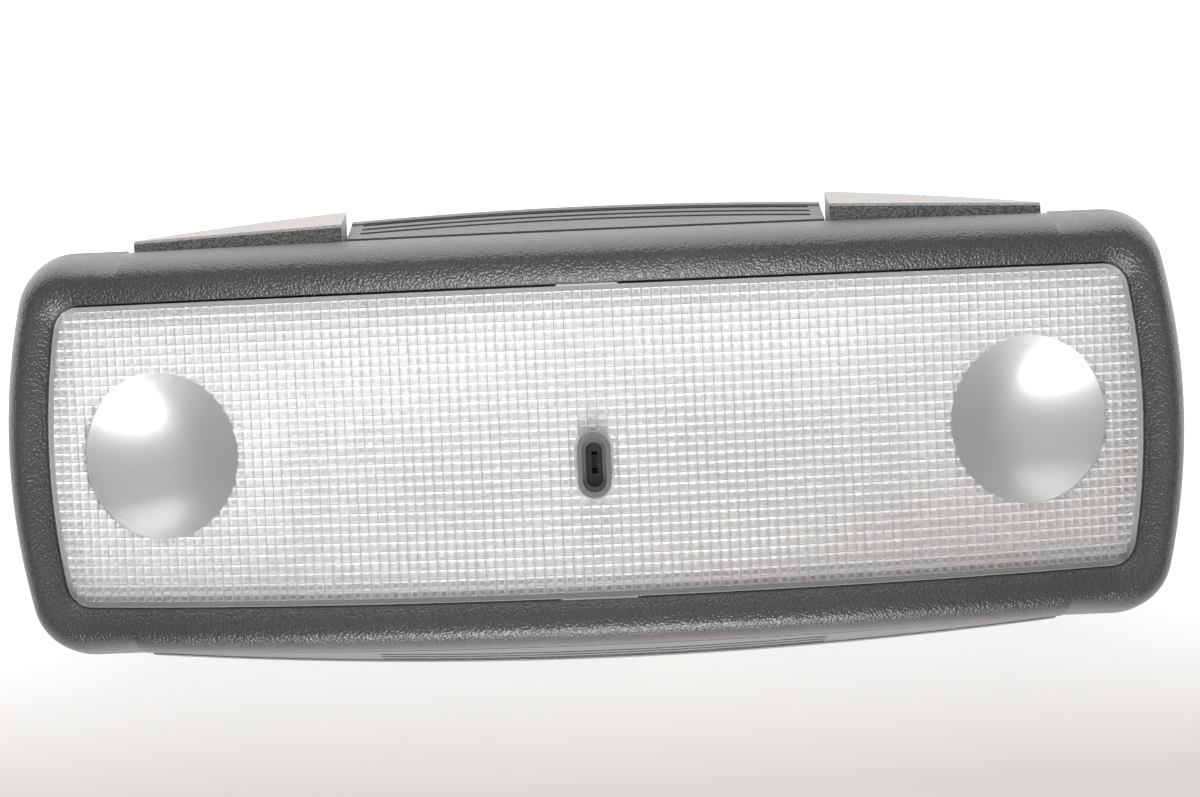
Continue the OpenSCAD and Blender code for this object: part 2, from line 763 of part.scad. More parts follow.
// Dark sleeve in the lens slot, standing on the main reflector
// Sleeve with a wide mouth, a step, and a dark floor with a small window over the sensor
module sensor_shroud() {
    base = refl_z + refl_t;
    color("#3b3b3e") translate([0, -slot_off, 0]) difference() {
        translate([0, 0, base]) linear_extrude(height = crown_h - 0.1 - base) rotate(90)
            slot2d(slot_l - 0.4, slot_w - 0.4);
        translate([0, 0, base - 1]) linear_extrude(height = sleeve_floor - base + 1) rotate(90)
            slot2d(sleeve_l, sleeve_w);
        translate([0, 0, sleeve_floor + sleeve_t]) linear_extrude(height = big) rotate(90)
            slot2d(sleeve_l, sleeve_w);
        translate([0, 0, crown_h - sleeve_step]) linear_extrude(height = big) rotate(90)
            slot2d(slot_l - 2.6, slot_w - 2.2);
        translate([-eye_w / 2, -eye_l / 2, sleeve_floor - 1]) cube([eye_w, eye_l, sleeve_t + 2]);
    }
}

module sensor_led() {
    base = refl_z + refl_t;
    color("#e8e4da") translate([0, -slot_off, base]) cylinder(d = led_d, h = sleeve_floor - led_gap - base);
}

// Bent spring clip against the tub's long wall, in the YZ plane
module spring_clip() {
    translate([-clip_w / 2, 0, 0]) rotate([90, 0, 90]) linear_extrude(height = clip_w)
        polygon([[0, clip_foot], [clip_t, clip_foot], [clip_t, clip_bend], [clip_out, clip_bend - 3.6],
            [clip_out + clip_t, clip_bend - 3.2], [clip_t + 0.4, clip_top], [0, clip_top]]);
}

module retaining_clips(s) {
    color("#b9bcc0") for (sy = [-1, 1])
        translate([s * clip_x, 0, 0]) mirror([0, sy < 0 ? 1 : 0, 0]) translate([0, tub_hw, 0]) spring_clip();
}

bezel();
housing();
lens();
main_reflector();
reading_reflector(-1);  // reading_reflector_left
reading_reflector(1);  // reading_reflector_right
reading_bulb(-1);  // reading_bulb_left
reading_bulb(1);  // reading_bulb_right
reading_socket(-1);  // reading_socket_left
reading_socket(1);  // reading_socket_right
reading_dish(-1);  // reading_dish_left
reading_dish(1);  // reading_dish_right
festoon_bulb(-1);  // festoon_bulb_left
festoon_bulb(1);  // festoon_bulb_right
festoon_contacts(-1);  // festoon_contacts_left
festoon_contacts(1);  // festoon_contacts_right
circuit_board();
board_screws();
connector_shell();
connector_pins();
switch_body(-1);  // switch_left
switch_body(1);  // switch_right
plunger(-1);  // plunger_left
plunger(1);  // plunger_right
button_left();
button_right();
hinge_pin(-1);  // hinge_pin_left
hinge_pin(1);  // hinge_pin_right
sensor_shroud();
sensor_led();
retaining_clips(-1);  // retaining_clips_left
retaining_clips(1);  // retaining_clips_right
bezel_screws();
rest_pads();
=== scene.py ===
# %% [markdown]
# # A car dome light
# The lamp lies on its back with the lens up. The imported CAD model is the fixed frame: it
# gives every piece its place and size, and it carries the joints. This script adds the
# looks: the prism lens, the grained bezel, the satin dishes and all the finishes.

# %% The frame
import math

import bpy
import bmesh
from mathutils import Euler, Matrix, Vector


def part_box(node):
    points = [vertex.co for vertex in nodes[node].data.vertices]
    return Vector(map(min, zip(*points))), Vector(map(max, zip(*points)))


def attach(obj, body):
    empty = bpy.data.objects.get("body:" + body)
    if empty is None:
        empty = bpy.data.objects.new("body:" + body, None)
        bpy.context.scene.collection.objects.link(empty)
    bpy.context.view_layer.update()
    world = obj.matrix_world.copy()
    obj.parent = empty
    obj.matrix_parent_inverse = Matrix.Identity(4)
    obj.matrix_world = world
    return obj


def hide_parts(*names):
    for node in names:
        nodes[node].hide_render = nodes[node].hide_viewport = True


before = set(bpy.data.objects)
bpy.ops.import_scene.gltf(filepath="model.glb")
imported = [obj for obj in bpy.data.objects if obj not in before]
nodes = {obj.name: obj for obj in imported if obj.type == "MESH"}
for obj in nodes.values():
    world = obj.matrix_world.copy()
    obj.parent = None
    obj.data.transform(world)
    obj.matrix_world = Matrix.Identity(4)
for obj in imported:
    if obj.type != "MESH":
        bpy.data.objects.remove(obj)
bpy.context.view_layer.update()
MM = 0.001

# %% [markdown]
# The front of the real lamp is bowed, so that it follows the headliner: its lens is bent
# round one large arc about an axis along Y. One could bend a flat model with a modifier,
# but then every cut bends too. So each point is put on the arc when it is made. Its sizes
# come from the frame, apart from the arc's radius.

# %% Sizes taken from the frame, in millimetres
BOW_R = 370.0
lens_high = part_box("lens")[1]
LENS_HL, LENS_HW, CROWN = (v / MM for v in lens_high)
bezel_low, bezel_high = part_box("bezel")
OUT_HL = bezel_high[0] / MM
OUT_HW = bezel_high[1] / MM
RIM_Z = bezel_low[2] / MM
AXIS_Z = CROWN - BOW_R


def surf_z(x):
    """Height of the bowed lens face over the back plane."""
    return AXIS_Z + math.sqrt(BOW_R * BOW_R - x * x)


def on_arc(u, y, depth):
    """A point at arc length u from the middle, below the lens face by depth, in metres."""
    a = u / BOW_R
    r = BOW_R - depth
    return Vector((r * math.sin(a), y, AXIS_Z + r * math.cos(a))) * MM


print("lens %.1f x %.1f mm" % (2 * LENS_HL, 2 * LENS_HW))
print("bezel %.1f x %.1f mm" % (2 * OUT_HL, 2 * OUT_HW))

# %% [markdown]
# Seen from the front, the lens and the bezel share one kind of outline: long straight
# sides, ends with a slight bow, and round corners. Drawing all of it by hand would risk a
# lopsided shape, so one quarter is worked out and then mirrored. The same function gives
# every outline, large or small, and they stay parallel.

# %% Outline of the lens and the bezel
END_BOW = 3.2 / 900.0                   # an end stands out 3.2 mm over 30 mm of half width
LENS_R = 5.5                            # corner radius of the lens


def quarter_outline(hl, hw, r, n_end, n_corner, side_x):
    """Points from the middle of the +X end to just before the middle of the +Y side."""
    a0 = math.atan(2 * END_BOW * (hw - r))
    y_end = hw - r + r * math.sin(a0)
    cx = hl - END_BOW * y_end ** 2 - r * math.cos(a0)
    pts = [(hl - END_BOW * (y_end * i / n_end) ** 2, y_end * i / n_end) for i in range(n_end)]
    for i in range(n_corner + 1):
        a = a0 + (math.pi / 2 - a0) * i / n_corner
        pts.append((cx + r * math.cos(a), hw - r + r * math.sin(a)))
    return pts + [(x, hw) for x in side_x]


def full_outline(hl, hw, r, n_end=10, n_corner=10, side_x=()):
    """The whole loop, counter-clockwise from the +X end."""
    q = quarter_outline(hl, hw, r, n_end, n_corner, side_x)
    half = q + [(0.0, hw)] + [(-x, y) for x, y in reversed(q[1:])]
    return half + [(-x, -y) for x, y in half]


print("lens outline:", len(full_outline(LENS_HL, LENS_HW, LENS_R)), "points")

# %% [markdown]
# A mesh is a list of points and a list of faces that name those points. Most
# pieces here are made that way, because their curves are known exactly. Three helpers turn
# such lists into an object, set which edges stay crisp, and tie a piece to its CAD body,
# so that it moves with it.

# %% Helpers: a piece from points and faces
def mesh_object(name, verts, faces):
    """A new object in the scene with the given points, in metres, and faces."""
    mesh = bpy.data.meshes.new(name)
    mesh.from_pydata([tuple(v) for v in verts], [], faces)
    obj = bpy.data.objects.new(name, mesh)
    bpy.context.scene.collection.objects.link(obj)
    return obj


def shade(obj, angle):
    """Smooth faces, with edges sharper than angle kept crisp."""
    bm = bmesh.new()
    bm.from_mesh(obj.data)
    bmesh.ops.recalc_face_normals(bm, faces=bm.faces)
    for f in bm.faces:
        f.smooth = True
    for e in bm.edges:
        e.smooth = len(e.link_faces) == 2 and e.calc_face_angle(0.0) < math.radians(angle)
    bm.to_mesh(obj.data)
    bm.free()


def make_piece(name, verts, faces, material, body, slot, smooth_angle):
    """A finished piece that rides on a body."""
    obj = mesh_object(name, verts, faces)
    obj.data.validate()
    obj.data.materials.append(material)
    shade(obj, smooth_angle)
    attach(obj, body)
    print(name, len(obj.data.polygons), "faces")
    return obj


# %% [markdown]
# A material is a small net of nodes. Building one in code is mostly adding
# nodes, setting their values and linking them, so those steps get short helpers. Every
# texture here is placed by object coordinates: they need no unwrapping, and they stay put
# when the piece moves.

# %% Helpers: shader nodes
def add(tree, kind, **values):
    """A node with its properties and input sockets set by name."""
    node = tree.nodes.new(kind)
    for key, value in values.items():
        if key in node.inputs:
            node.inputs[key].default_value = value
        else:
            setattr(node, key, value)
    return node


def is_socket(value):
    return isinstance(value, bpy.types.NodeSocket)


def math_node(tree, op, a, b, clamp=False):
    """The result of a Math node; a and b are sockets or numbers."""
    node = add(tree, "ShaderNodeMath", operation=op, use_clamp=clamp)
    for i, value in enumerate((a, b)):
        if is_socket(value):
            tree.links.new(value, node.inputs[i])
        else:
            node.inputs[i].default_value = value
    return node.outputs[0]


def mix_colour(tree, factor, low, high):
    """The result of a colour Mix node; low and high are sockets or colours."""
    node = add(tree, "ShaderNodeMix", data_type="RGBA")
    for i, value in ((6, low), (7, high)):
        if is_socket(value):
            tree.links.new(value, node.inputs[i])
        else:
            node.inputs[i].default_value = (*value, 1.0)
    tree.links.new(factor, node.inputs[0])
    return node.outputs[2]


def object_texture(tree, kind, **values):
    """A texture node that is placed by object coordinates."""
    coord = add(tree, "ShaderNodeTexCoord")
    node = add(tree, kind, **values)
    tree.links.new(coord.outputs["Object"], node.inputs["Vector"])
    return node


def along(tree, direction):
    """How far a point lies along a direction: a gradient over the object."""
    coord = add(tree, "ShaderNodeTexCoord")
    dot = add(tree, "ShaderNodeVectorMath", operation="DOT_PRODUCT")
    dot.inputs[1].default_value = direction
    tree.links.new(coord.outputs["Object"], dot.inputs[0])
    return dot.outputs["Value"]


# %% [markdown]
# Some effects turn up in several materials: the grain from the mould, the specks and
# smears of use, the film of dust on the lens, a fine mottling. Each is a node group, built
# once, and placed in a material with that material's own values. A group has inputs and
# outputs with names, like a function.

# %% Helper: node groups
def new_group(name, inputs, outputs):
    """A shader node group with float inputs (name, default) and named float outputs."""
    group = bpy.data.node_groups.new(name, "ShaderNodeTree")
    for label, value in inputs:
        sock = group.interface.new_socket(label, in_out="INPUT", socket_type="NodeSocketFloat")
        sock.default_value = value
    for label in outputs:
        group.interface.new_socket(label, in_out="OUTPUT", socket_type="NodeSocketFloat")
    return group, group.nodes.new("NodeGroupInput"), group.nodes.new("NodeGroupOutput")


def use_group(tree, group, **values):
    """Places a node group in a material, with its own values."""
    node = tree.nodes.new("ShaderNodeGroup")
    node.node_tree = group
    for key, value in values.items():
        node.inputs[key.replace("_", " ")].default_value = value
    return node


# %% [markdown]
# Trim plastic has a leather grain of small domes, about half a millimetre wide, etched
# into the mould. An image of leather would repeat and blur, so the domes are a texture of
# cells: the height falls off with the square of the distance to the middle of each cell.
# A little noise first bends the space, so that the cells aren't regular, and softer lumps
# lie under them.

# %% Node group: leather grain
def leather_grain_group():
    """Height of a moulded leather grain, cells of about Cell Size metres."""
    g, inp, out = new_group("moulded_leather_grain", [("Cell Size", 0.0005)], ["Height", "Cells"])
    warp = object_texture(g, "ShaderNodeTexNoise", Scale=900.0, Detail=2.0)
    shift = add(g, "ShaderNodeVectorMath", operation="SCALE")
    shift.inputs["Scale"].default_value = 0.0006
    g.links.new(warp.outputs["Color"], shift.inputs[0])
    coord = add(g, "ShaderNodeTexCoord")
    moved = add(g, "ShaderNodeVectorMath", operation="ADD")
    g.links.new(coord.outputs["Object"], moved.inputs[0])
    g.links.new(shift.outputs[0], moved.inputs[1])
    cells = add(g, "ShaderNodeTexVoronoi", feature="SMOOTH_F1", Smoothness=0.3)
    g.links.new(moved.outputs[0], cells.inputs["Vector"])
    g.links.new(math_node(g, "DIVIDE", 1.0, inp.outputs["Cell Size"]), cells.inputs["Scale"])
    fall = math_node(g, "MULTIPLY", cells.outputs["Distance"], cells.outputs["Distance"])
    dome = math_node(g, "SUBTRACT", 1.0, math_node(g, "MULTIPLY", fall, 2.0), clamp=True)
    lumps = object_texture(g, "ShaderNodeTexNoise", Scale=420.0, Detail=3.0)
    soft = math_node(g, "MULTIPLY", lumps.outputs["Fac"], 0.5)
    g.links.new(math_node(g, "ADD", dome, soft), out.inputs["Height"])
    g.links.new(dome, out.inputs["Cells"])
    return g


grain_group = leather_grain_group()
print("grain group:", len(grain_group.nodes), "nodes")

# %% [markdown]
# A used lamp isn't evenly clean. Here and there a grain is rubbed light, and faint smears
# cover a few centimetres. Small dots come from a texture of cells with a hard threshold,
# and only where a slow noise is high. The smears are the top of another slow noise.

# %% Node group: rubbed specks and smears
def specks_group():
    """Masks of small light specks and of faint smears."""
    g, inp, out = new_group("handling_specks", [("Amount", 0.5)], ["Specks", "Smears"])
    dots = object_texture(g, "ShaderNodeTexVoronoi", Scale=240.0)
    near = math_node(g, "LESS_THAN", dots.outputs["Distance"], 0.035)
    pick = object_texture(g, "ShaderNodeTexNoise", Scale=60.0, Detail=2.0)
    some = math_node(g, "GREATER_THAN", pick.outputs["Fac"], 0.58)
    both = math_node(g, "MULTIPLY", near, some)
    g.links.new(math_node(g, "MULTIPLY", both, inp.outputs["Amount"]), out.inputs["Specks"])
    smear = object_texture(g, "ShaderNodeTexNoise", Scale=35.0, Detail=5.0, Roughness=0.65)
    lifted = math_node(g, "SUBTRACT", smear.outputs["Fac"], 0.45, clamp=True)
    g.links.new(math_node(g, "MULTIPLY", lifted, inp.outputs["Amount"]), out.inputs["Smears"])
    return g


speck_group = specks_group()
print("speck group:", len(speck_group.nodes), "nodes")

# %% [markdown]
# The prisms inside the lens are made darker towards one long side and one end. A gradient along a
# slanted direction plus a slow noise gives that darkening. The last group is the plainest: a fine
# mottling for metal and for smooth plastic.

# %% Node groups: one-sided darkening, fine mottling
def darkening_gradient_group():
    """Mask that makes the colour darker towards -Y and +X."""
    g, inp, out = new_group("lens_darkening_gradient", [("Amount", 1.0)], ["Film"])
    level = math_node(g, "ADD", along(g, (1.6, -12.0, 0.0)), -0.16)
    noise = object_texture(g, "ShaderNodeTexNoise", Scale=14.0, Detail=4.0)
    patch = math_node(g, "ADD", level, math_node(g, "MULTIPLY", noise.outputs["Fac"], 0.9))
    g.links.new(math_node(g, "MULTIPLY", patch, inp.outputs["Amount"], clamp=True), out.inputs["Film"])
    return g


def mottle_group():
    """A fine even noise of the given scale."""
    g, inp, out = new_group("fine_mottle", [("Scale", 500.0)], ["Mottle"])
    noise = object_texture(g, "ShaderNodeTexNoise", Detail=3.0)
    g.links.new(inp.outputs["Scale"], noise.inputs["Scale"])
    g.links.new(noise.outputs["Fac"], out.inputs["Mottle"])
    return g


darkening_group = darkening_gradient_group()
fine_mottle = mottle_group()
print("node groups:", [group.name for group in bpy.data.node_groups])

# %% [markdown]
# Every material starts the same way: an empty net, one Principled shader and the output.
# A value that is the same all over is set on the shader's own socket. Only what changes
# over the surface comes in through a link.

# %% Helpers: materials
def new_material(name, **constants):
    """A material with its tree, Principled shader and output; constants are shader values."""
    mat = bpy.data.materials.new(name)
    mat.use_nodes = True
    tree = mat.node_tree
    tree.nodes.clear()
    out = tree.nodes.new("ShaderNodeOutputMaterial")
    shader = tree.nodes.new("ShaderNodeBsdfPrincipled")
    for label, value in constants.items():
        shader.inputs[label.replace("_", " ")].default_value = value
    tree.links.new(shader.outputs[0], out.inputs["Surface"])
    return mat, tree, shader, out


def add_bump(tree, shader, height, distance):
    """A bump as deep as distance, in metres, where height is 1."""
    bump = add(tree, "ShaderNodeBump", Strength=1.0, Distance=distance)
    tree.links.new(height, bump.inputs["Height"])
    tree.links.new(bump.outputs[0], shader.inputs["Normal"])


# %% [markdown]
# The bezel, buttons and housing are charcoal plastic with that grain. The valleys between the domes
# are painted darker than their tops, a painted shade, and each dome catches the light on one side,
# which makes the sparkle. Seen at a flat angle the colour is mixed towards a pale grey by Layer
# Weight: a painted sheen. The buttons have more of it.

# %% Material: dark grained plastic
DUST = (0.34, 0.335, 0.325)
SHEEN_PALE = (0.62, 0.59, 0.565)


def grained_plastic(name, dark, light, cell, depth, painted_sheen, rough=0.45):
    """Trim plastic: valley colour (painted darker as shade) and dome colour, cell and depth in metres,
    painted sheen at flat angles.
    """
    mat, tree, shader, _ = new_material(name, Specular_IOR_Level=1.0, IOR=1.6)
    grain = use_group(tree, grain_group, Cell_Size=cell)
    marks = use_group(tree, speck_group, Amount=0.6)
    # The valleys between the domes are painted darker than their tops: painted shade in the grain.
    valley_shade_mask = math_node(tree, "MULTIPLY", grain.outputs["Cells"], 0.6)
    dust = math_node(tree, "MULTIPLY", marks.outputs["Smears"], 0.12)
    dust = math_node(tree, "MAXIMUM", dust, marks.outputs["Specks"])
    colour = mix_colour(tree, dust, mix_colour(tree, valley_shade_mask, dark, light), DUST)
    # At flat angles the colour is mixed towards a pale grey: a painted sheen.
    facing = add(tree, "ShaderNodeLayerWeight", Blend=0.5).outputs["Facing"]
    sheen_mask = math_node(tree, "MULTIPLY", math_node(tree, "POWER", facing, 2.2), painted_sheen, clamp=True)
    tree.links.new(mix_colour(tree, sheen_mask, colour, SHEEN_PALE), shader.inputs["Base Color"])
    rise = math_node(tree, "MULTIPLY", marks.outputs["Smears"], 0.25)
    tree.links.new(math_node(tree, "ADD", rise, rough), shader.inputs["Roughness"])
    add_bump(tree, shader, grain.outputs["Height"], depth)
    return mat


trim = grained_plastic("grained_trim", (0.008, 0.008, 0.009), (0.034, 0.034, 0.036),
                       cell=0.00055, depth=0.0001, painted_sheen=0.15, rough=0.38)
key_trim = grained_plastic("grained_key", (0.05, 0.049, 0.048), (0.36, 0.35, 0.34),
                           cell=0.00055, depth=0.0001, painted_sheen=2.3)
housing_trim = grained_plastic("housing_plastic", (0.030, 0.030, 0.031), (0.055, 0.054, 0.052),
                               cell=0.0005, depth=0.00006, painted_sheen=0.35)
print("grained plastics:", trim.name, key_trim.name, housing_trim.name)

# %% [markdown]
# The lens is clear plastic, but only its front and its windows look clear. The prisms scatter, so
# their slopes are half milky. The flat pads are painted a little darker and the grooves between them
# darker still, a painted shade that draws the thin lines of the grid. A real lens scatters light into
# the closed lamp. Tracing that takes very long, so for shadow rays the lens lets light straight
# through, which does nearly the same.

# %% Material: clear lens
DARKER_TONE = (0.62, 0.60, 0.585)


def clear_plastic(name, tint, rough, clear=1.0, darkening=0.0):
    """Clear moulded plastic; clear below 1 is milky, and the last argument is how much the colour
    darkens towards -Y and +X.
    """
    mat, tree, shader, out = new_material(name, Transmission_Weight=clear, IOR=1.46, Roughness=rough,
                                          Base_Color=(*tint, 1.0))
    if darkening:
        mask = use_group(tree, darkening_group, Amount=darkening).outputs["Film"]
        darker_tint = [t * f for t, f in zip(tint, DARKER_TONE)]
        tree.links.new(mix_colour(tree, mask, tint, darker_tint), shader.inputs["Base Color"])
    through = add(tree, "ShaderNodeBsdfTransparent", Color=(0.98, 0.98, 0.98, 1.0))
    path = add(tree, "ShaderNodeLightPath")
    mix = add(tree, "ShaderNodeMixShader")
    tree.links.new(path.outputs["Is Shadow Ray"], mix.inputs[0])
    tree.links.new(shader.outputs[0], mix.inputs[1])
    tree.links.new(through.outputs[0], mix.inputs[2])
    tree.links.new(mix.outputs[0], out.inputs["Surface"])
    return mat


lens_clear = clear_plastic("lens_clear", (0.965, 0.965, 0.965), 0.1)
prism_frost = clear_plastic("prism_frost", (0.985, 0.98, 0.98), 0.3, clear=0.46, darkening=1.4)
# The pads and the grooves get darker tints: painted shade that draws the grid.
pad_shaded_frost = clear_plastic("pad_shaded_frost", (0.87, 0.865, 0.87), 0.3, clear=0.46, darkening=1.4)
groove_shade = clear_plastic("groove_shade", (0.50, 0.495, 0.50), 0.2, clear=0.4)
rim_haze = clear_plastic("rim_haze", (0.80, 0.80, 0.81), 0.2, clear=0.55)
bulb_clear = clear_plastic("bulb_clear", (0.95, 0.96, 0.96), 0.02)
print("materials so far:", len(bpy.data.materials))

# %% [markdown]
# Reflectors are plastic with a vapour of aluminium on it, which gives a satin mirror. A
# plain metal with an even roughness looks like chrome paint, so the mottling moves both
# the roughness and, by up to 0.04 of a millimetre, the surface. Steel and brass
# pieces use the same recipe with their own colour.

# %% Material: metallised reflector, steel and brass
def satin_metal(name, color, rough, fine):
    """Satin metal, a little uneven; fine is the depth of the mottling in metres."""
    mat, tree, shader, _ = new_material(name, Metallic=1.0, Base_Color=(*color, 1.0))
    mottle = use_group(tree, fine_mottle, Scale=500.0).outputs["Mottle"]
    spread = math_node(tree, "MULTIPLY", mottle, 0.1)
    tree.links.new(math_node(tree, "ADD", spread, rough - 0.05), shader.inputs["Roughness"])
    add_bump(tree, shader, mottle, fine)
    return mat


tray_silver = satin_metal("tray_silver", (0.93, 0.93, 0.92), 0.5, 0.00004)
bowl_silver = satin_metal("bowl_silver", (0.70, 0.70, 0.705), 0.43, 0.00002)
steel = satin_metal("zinc_steel", (0.62, 0.63, 0.65), 0.35, 0.00001)
brass = satin_metal("contact_brass", (0.78, 0.60, 0.28), 0.35, 0.00001)
print("materials with the metals:", len(bpy.data.materials))

# %% [markdown]
# The inner pieces, such as sockets, switches and the sensor's sleeve, are smooth moulded
# plastic. Moulded plastic is never one flat colour: its tone drifts slightly and its
# gloss with it. So the mottling moves between a darker and a lighter shade of the colour.

# %% Material: plain moulded plastics of the inner pieces
def moulded(name, color, rough):
    """Smooth moulded plastic with a faint mottling."""
    mat, tree, shader, _ = new_material(name)
    mottle = use_group(tree, fine_mottle, Scale=300.0).outputs["Mottle"]
    dark = [c * 0.88 for c in color]
    light = [min(1.0, c * 1.08) for c in color]
    tree.links.new(mix_colour(tree, mottle, dark, light), shader.inputs["Base Color"])
    spread = math_node(tree, "MULTIPLY", mottle, 0.15)
    tree.links.new(math_node(tree, "ADD", spread, rough - 0.07), shader.inputs["Roughness"])
    add_bump(tree, shader, mottle, 0.00001)
    return mat


socket_white = moulded("socket_white", (0.72, 0.70, 0.64), 0.45)
board_green = moulded("board_green", (0.03, 0.12, 0.06), 0.35)
switch_black = moulded("switch_black", (0.015, 0.015, 0.016), 0.35)
plunger_red = moulded("plunger_red", (0.42, 0.07, 0.04), 0.4)
sleeve_grey = moulded("sleeve_grey", (0.19, 0.187, 0.183), 0.42)
led_smoked = moulded("led_smoked", (0.02, 0.019, 0.022), 0.2)
pad_rubber = moulded("pad_rubber", (0.022, 0.022, 0.022), 0.75)
print("materials with the inner plastics:", len(bpy.data.materials))

# %% [markdown]
# Many CAD nodes already have the right shape: housing, switches, bulbs, clips and so on.
# They stay, and only get a finish. The table goes by the start of a node's name, so that
# left and right pieces share a row.

# %% Finishes of the CAD nodes that stay
FINISH = {
    "housing": housing_trim, "button": key_trim, "rest_pads": pad_rubber,
    "main_reflector": tray_silver, "reading_reflector": bowl_silver,
    "reading_bulb": bulb_clear, "festoon_bulb": bulb_clear, "reading_socket": socket_white,
    "festoon_contacts": steel, "hinge_pin": steel, "retaining_clips": steel,
    "board_screws": steel, "bezel_screws": steel, "circuit_board": board_green,
    "connector_shell": socket_white, "connector_pins": brass,
    "sensor_shroud": sleeve_grey, "sensor_led": led_smoked,
    "switch": switch_black, "plunger": plunger_red,
}
finished = 0
for name, obj in nodes.items():
    mat = next((m for start, m in FINISH.items() if name.startswith(start)), None)
    if mat:
        obj.data.materials.clear()
        obj.data.materials.append(mat)
        finished += 1
print("finished", finished, "of", len(nodes), "nodes; the others are replaced below")

# %% [markdown]
# No moulded edge is truly sharp, and a rounded edge catches a thin line of light. The CAD
# buttons have sharp edges. Their mesh may not be changed, but a bevel modifier rounds
# what is seen and leaves the mesh as it is.

# %% Rounded edges of the buttons
BUTTON_ROUND = 0.45
for name in ("button_left", "button_right"):
    rounding = nodes[name].modifiers.new("rounding", "BEVEL")
    rounding.width = BUTTON_ROUND * MM
    rounding.segments = 3
    rounding.limit_method = "ANGLE"
    rounding.angle_limit = math.radians(40)
print("button edges rounded by", BUTTON_ROUND, "mm")

# %% [markdown]
# The bezel is one moulding whose shoulder rolls over from the lens lip to the sides. The real one has
# a shallow bevel that rises from the lens to a low crest, and from there the shoulder falls to the
# edge. Its section is drawn first, with quadratic curves: two end points and one control point each,
# which is easy to fit. Over the long cut-outs the edge is set back and lifted a little, which leaves
# the dark line above the bands.

# %% The bezel: its section
SHOULDER_H = 12.0                       # fall from the lens face to the edge over a cut-out
FLARE = math.tan(math.radians(19.0))    # lean of the sides
BEZEL_WALL = 2.0
LIP_DEPTH = 2.6
LIP = [(0.0, LIP_DEPTH), (0.0, 0.42), (0.08, 0.28)]
BEVEL_START = (0.22, 0.2)
BEVEL_X = 2.6
CREST_X, CREST_H = 4.8, 1.3
CREST_ROLL = 1.2                        # moves the roll's control point outwards
EDGE_IN, EDGE_H = 0.5, 1.6              # the narrow strip along the edge
PARTING = 1.0                           # how far the edge is lifted over a cut-out
GAP_IN, GAP_H = 0.55, 1.0               # set back there, and height of the strip left


def curve(p0, p1, p2, count):
    """Points of a quadratic curve, without its last point."""
    return [tuple(a * (1 - s) ** 2 + 2 * b * s * (1 - s) + c * s * s for a, b, c in zip(p0, p1, p2))
            for s in (k / count for k in range(count))]


def inner_shoulder(w, d, count):
    """The inside of the wall, from its top to its foot, as (across, down) points."""
    cx = max(w - FLARE * d, w * 0.45) - BEZEL_WALL
    pts = []
    for k in range(count + 1):
        s = k / count
        down = BEZEL_WALL + 0.6 * s * (1 - s) + (d - BEZEL_WALL) * s * s
        pts.append((2 * cx * s * (1 - s) + (w - BEZEL_WALL) * s * s, down))
    return pts


def bezel_section(w, d, gap):
    """Closed section, w across and d down: lip, bevel, shoulder, edge, and back inside."""
    cx = max(w - FLARE * d, w * 0.45) + CREST_ROLL
    knee = (w - gap, d - GAP_H) if gap else (w - EDGE_IN, d - EDGE_H)
    w = w - gap
    bevel = curve(BEVEL_START, (BEVEL_X, -CREST_H), (CREST_X, -CREST_H), 10)
    roll = curve((CREST_X, -CREST_H), (cx, -CREST_H), knee, 20)
    edge = [knee, (w - 0.08, d - 0.25), (w - 0.25, d), (w - BEZEL_WALL + 0.2, d)]
    under = [(x, y) for x, y in reversed(inner_shoulder(w, d, 10)) if x > 0.5]
    return LIP + bevel + roll + edge + under + [(0.6, LIP_DEPTH)]


print("bezel section:", len(bezel_section(12.0, 12.0, 0.0)), "points")

# %% [markdown]
# A loft joins many such sections. The inner outline runs round the lens and the outer one
# round the bezel, with the same number of points. Each pair of points gets a section that
# spans from one to the other, and neighbouring sections are joined by rows of faces. The
# result is a closed ring without a seam.

# %% The bezel: its loft
LENS_GAP = 0.5
INNER_R, OUTER_R = 6.0, 13.0
CUT_HX, CUT_RAMP = 97.6, 0.8


def ring_stations(hl, hw, r):
    """Outline points that include the two ends of each long cut-out."""
    side = [CUT_HX + CUT_RAMP] + [CUT_HX * (1 - i / 30) for i in range(30)]
    return full_outline(hl, hw, r, 14, 14, side)


def loft_bezel():
    """Points and faces of the whole ring."""
    inner = ring_stations(LENS_HL + LENS_GAP, LENS_HW + LENS_GAP, INNER_R)
    outer = ring_stations(OUT_HL, OUT_HW, OUTER_R)
    verts, faces, count = [], [], None
    for (xi, yi), (xo, yo) in zip(inner, outer):
        w = math.hypot(xo - xi, yo - yi)
        ux, uy = (xo - xi) / w, (yo - yi) / w
        top = surf_z(xi)
        cut = abs(yo) > OUT_HW - 0.5 and abs(xo) < CUT_HX + 0.1
        low = surf_z(xo) - SHOULDER_H + PARTING if cut else RIM_Z
        section = bezel_section(w, top - low, GAP_IN if cut else 0.0)
        count = len(section)
        verts += [Vector((xi + ux * a, yi + uy * a, top - b)) * MM for a, b in section]
    n = len(inner)
    for i in range(n):
        j = (i + 1) % n
        for k in range(count):
            m = (k + 1) % count
            faces.append((i * count + k, i * count + m, j * count + m, j * count + k))
    return verts, faces


bezel_verts, bezel_faces = loft_bezel()
bezel = make_piece("bezel_trim", bezel_verts, bezel_faces, trim, "lamp", "grained_dark", 40.0)
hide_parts("bezel")

# %% [markdown]
# The back of the lens is a field of blunt pyramids, two millimetres apart. They bend and
# scatter the light of the bulbs. An array modifier could repeat one pyramid, but thousands
# of separate lumps don't make a sound solid. So the field is one grid: a narrow groove
# runs along every grid line, and the flat pad in the middle of every cell is thick.

# %% The lens: a plate of prisms
PITCH = 2.0
ROWS, COLUMNS = 33, 119
GROOVE_T, SLOPE_T, PLATE_T = 1.3, 1.75, 2.4     # depth at a groove, its shoulder and a pad
GROOVE_IN, PAD_IN = 0.13, 0.56                  # their distance from the grid line


